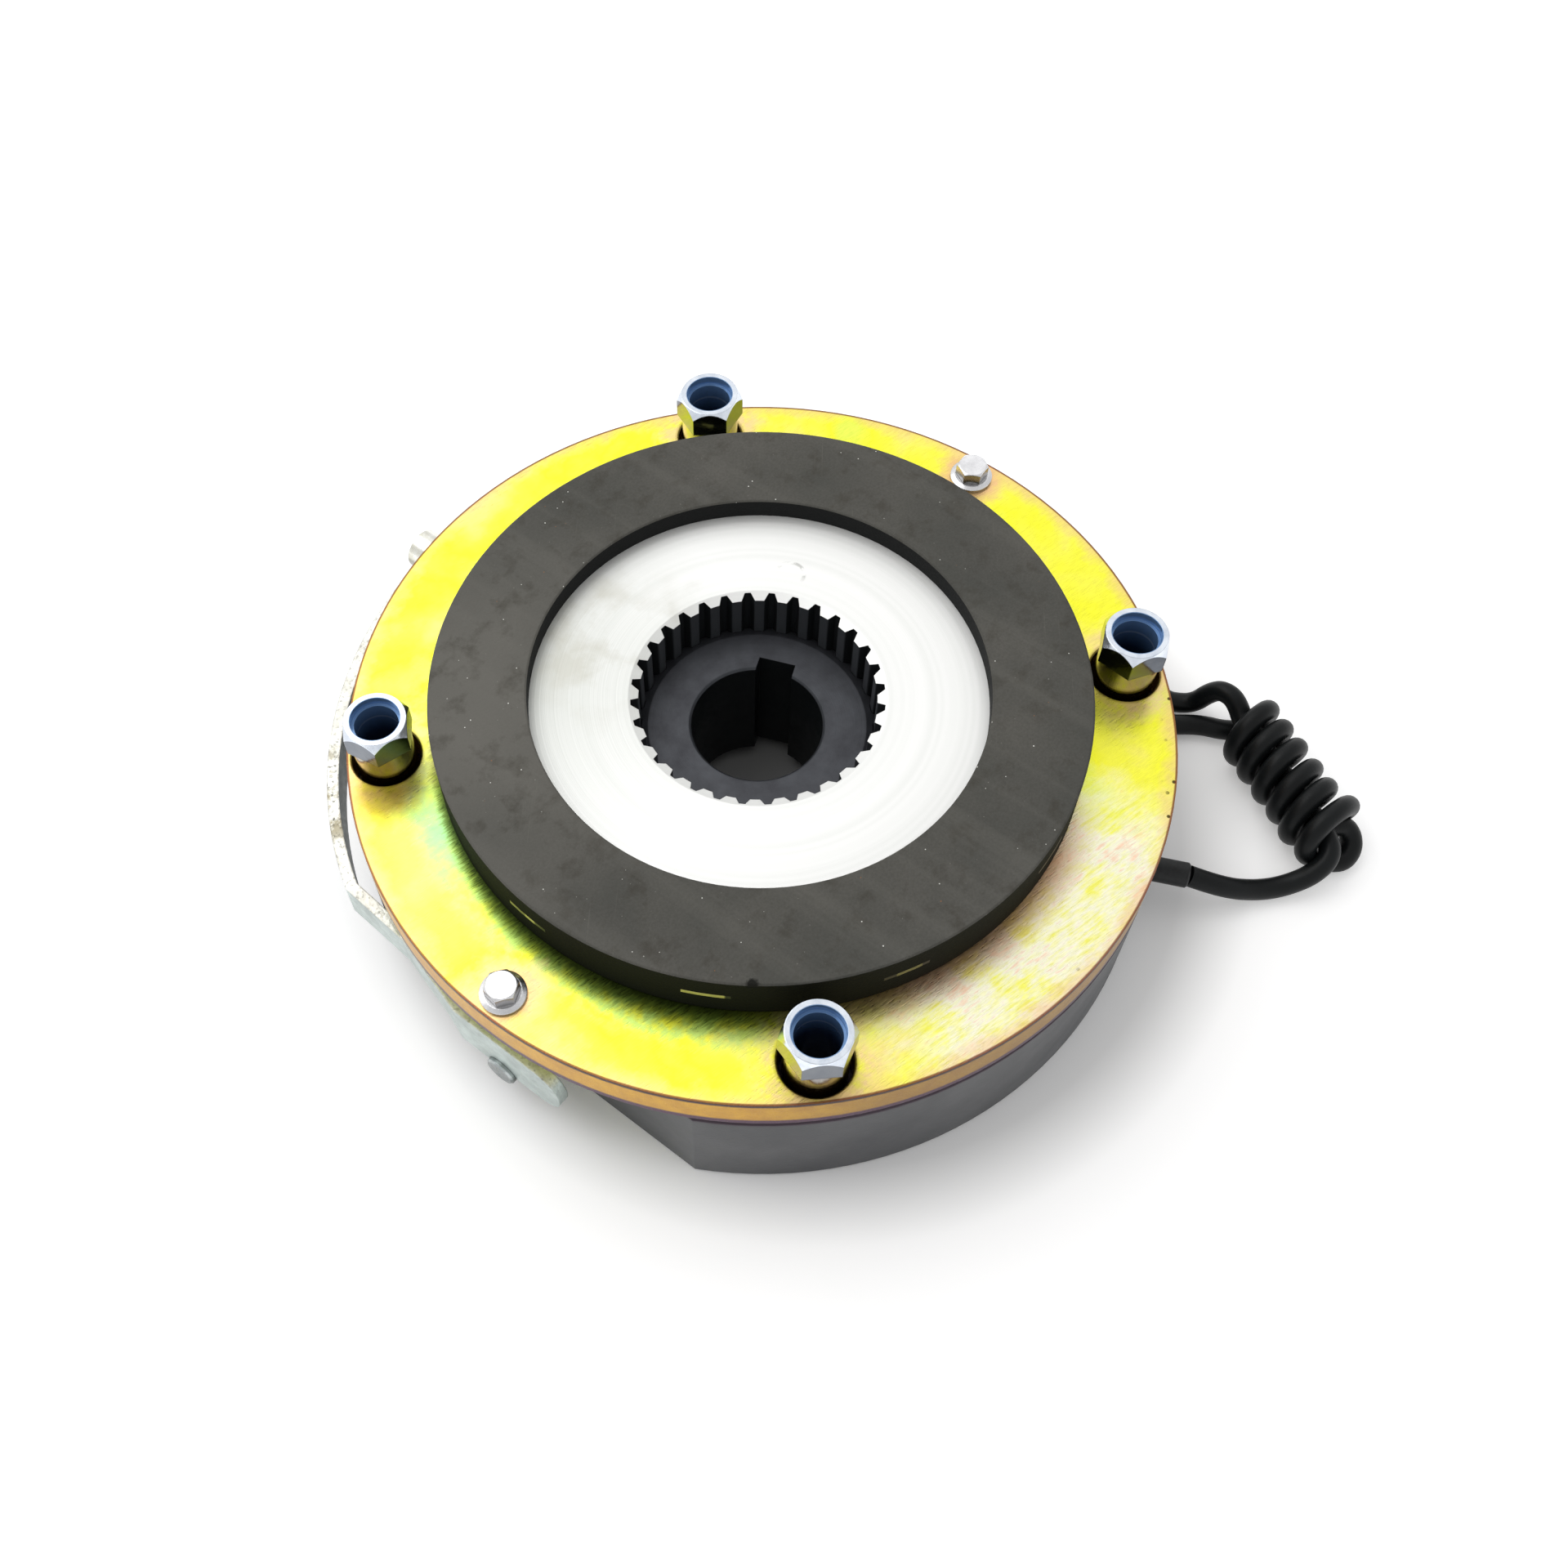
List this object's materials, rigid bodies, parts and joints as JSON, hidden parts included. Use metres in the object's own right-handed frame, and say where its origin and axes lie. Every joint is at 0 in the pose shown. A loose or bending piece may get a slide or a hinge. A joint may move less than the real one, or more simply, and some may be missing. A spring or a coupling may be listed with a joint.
{
  "type": "spring applied brake",
  "caption": "Spring applied electromagnetic brake with coil stator, armature plate, splined friction rotor on a keyed hub, hand release bail and coiled cable.",
  "frame": {"origin": "centre of the stator's back face, which the brake lies on", "axes": "+Z along the shaft axis towards the rotor, +X through the release screws, +Y to the middle of the release bail"},
  "size_m": [0.25, 0.2663, 0.0675],
  "materials": {
    "stator_paint": "satin grey",
    "bobbin_plastic": "moulded",
    "winding_copper": "enamelled wire",
    "cast_resin": "cast",
    "yellow_zinc": "yellow passivated",
    "friction_lining": "ground",
    "cast_aluminium": "turned",
    "blackened_steel": "black oxide",
    "sleeve_zinc": "zinc plated",
    "screw_zinc": "zinc plated",
    "pin_steel": "zinc plated",
    "bail_zinc": "zinc plated, sheared edges",
    "bail_boss": "zinc plated",
    "spring_steel": "drawn wire",
    "shrink_tube": "matt",
    "cable_jacket": "matt"
  },
  "bodies": {
    "stator": {"stator_housing": "stator_paint", "coil_bobbin": "bobbin_plastic", "coil_winding": "winding_copper", "potting_ring": "cast_resin", "compression_spring_1": "spring_steel", "compression_spring_2": "spring_steel", "compression_spring_3": "spring_steel", "compression_spring_4": "spring_steel", "compression_spring_5": "spring_steel", "compression_spring_6": "spring_steel", "mounting_sleeves": "sleeve_zinc", "cable_sleeve": "shrink_tube", "cable": "cable_jacket", "cable_coil": "cable_jacket", "cable_loop": "cable_jacket"},
    "shaft_hub": {"hub": "blackened_steel"},
    "rotor": {"rotor_carrier": "cast_aluminium", "friction_lining": "friction_lining"},
    "armature": {"armature_plate": "yellow_zinc", "release_screws": "screw_zinc", "release_pins": "pin_steel"},
    "bail": {"release_bail": "bail_zinc", "lever_boss": "bail_boss"}
  },
  "joints": [
    {"name": "hub_spin", "type": "hinge", "parent": "stator", "child": "shaft_hub", "pos_m": [0, 0, 0.0253], "axis": [0, 0, 1], "continuous": true},
    {"name": "rotor_slide", "type": "slide", "parent": "shaft_hub", "child": "rotor", "axis": [0, 0, 1], "range_m": [0, 0.002]},
    {"name": "armature_slide", "type": "slide", "parent": "stator", "child": "armature", "axis": [0, 0, -1], "range_m": [0, 0.00095], "deforming": ["compression_spring_1", "compression_spring_2", "compression_spring_3", "compression_spring_4", "compression_spring_5", "compression_spring_6"]},
    {"name": "bail_tilt", "type": "hinge", "parent": "armature", "child": "bail", "pos_m": [0, 0, 0.014], "axis": [-1, 0, 0], "range_deg": [0, 8]}
  ],
  "couplings": [
    {"joint": "armature_slide", "follows": "bail_tilt", "m_per_rad": 0.0068}
  ]
}
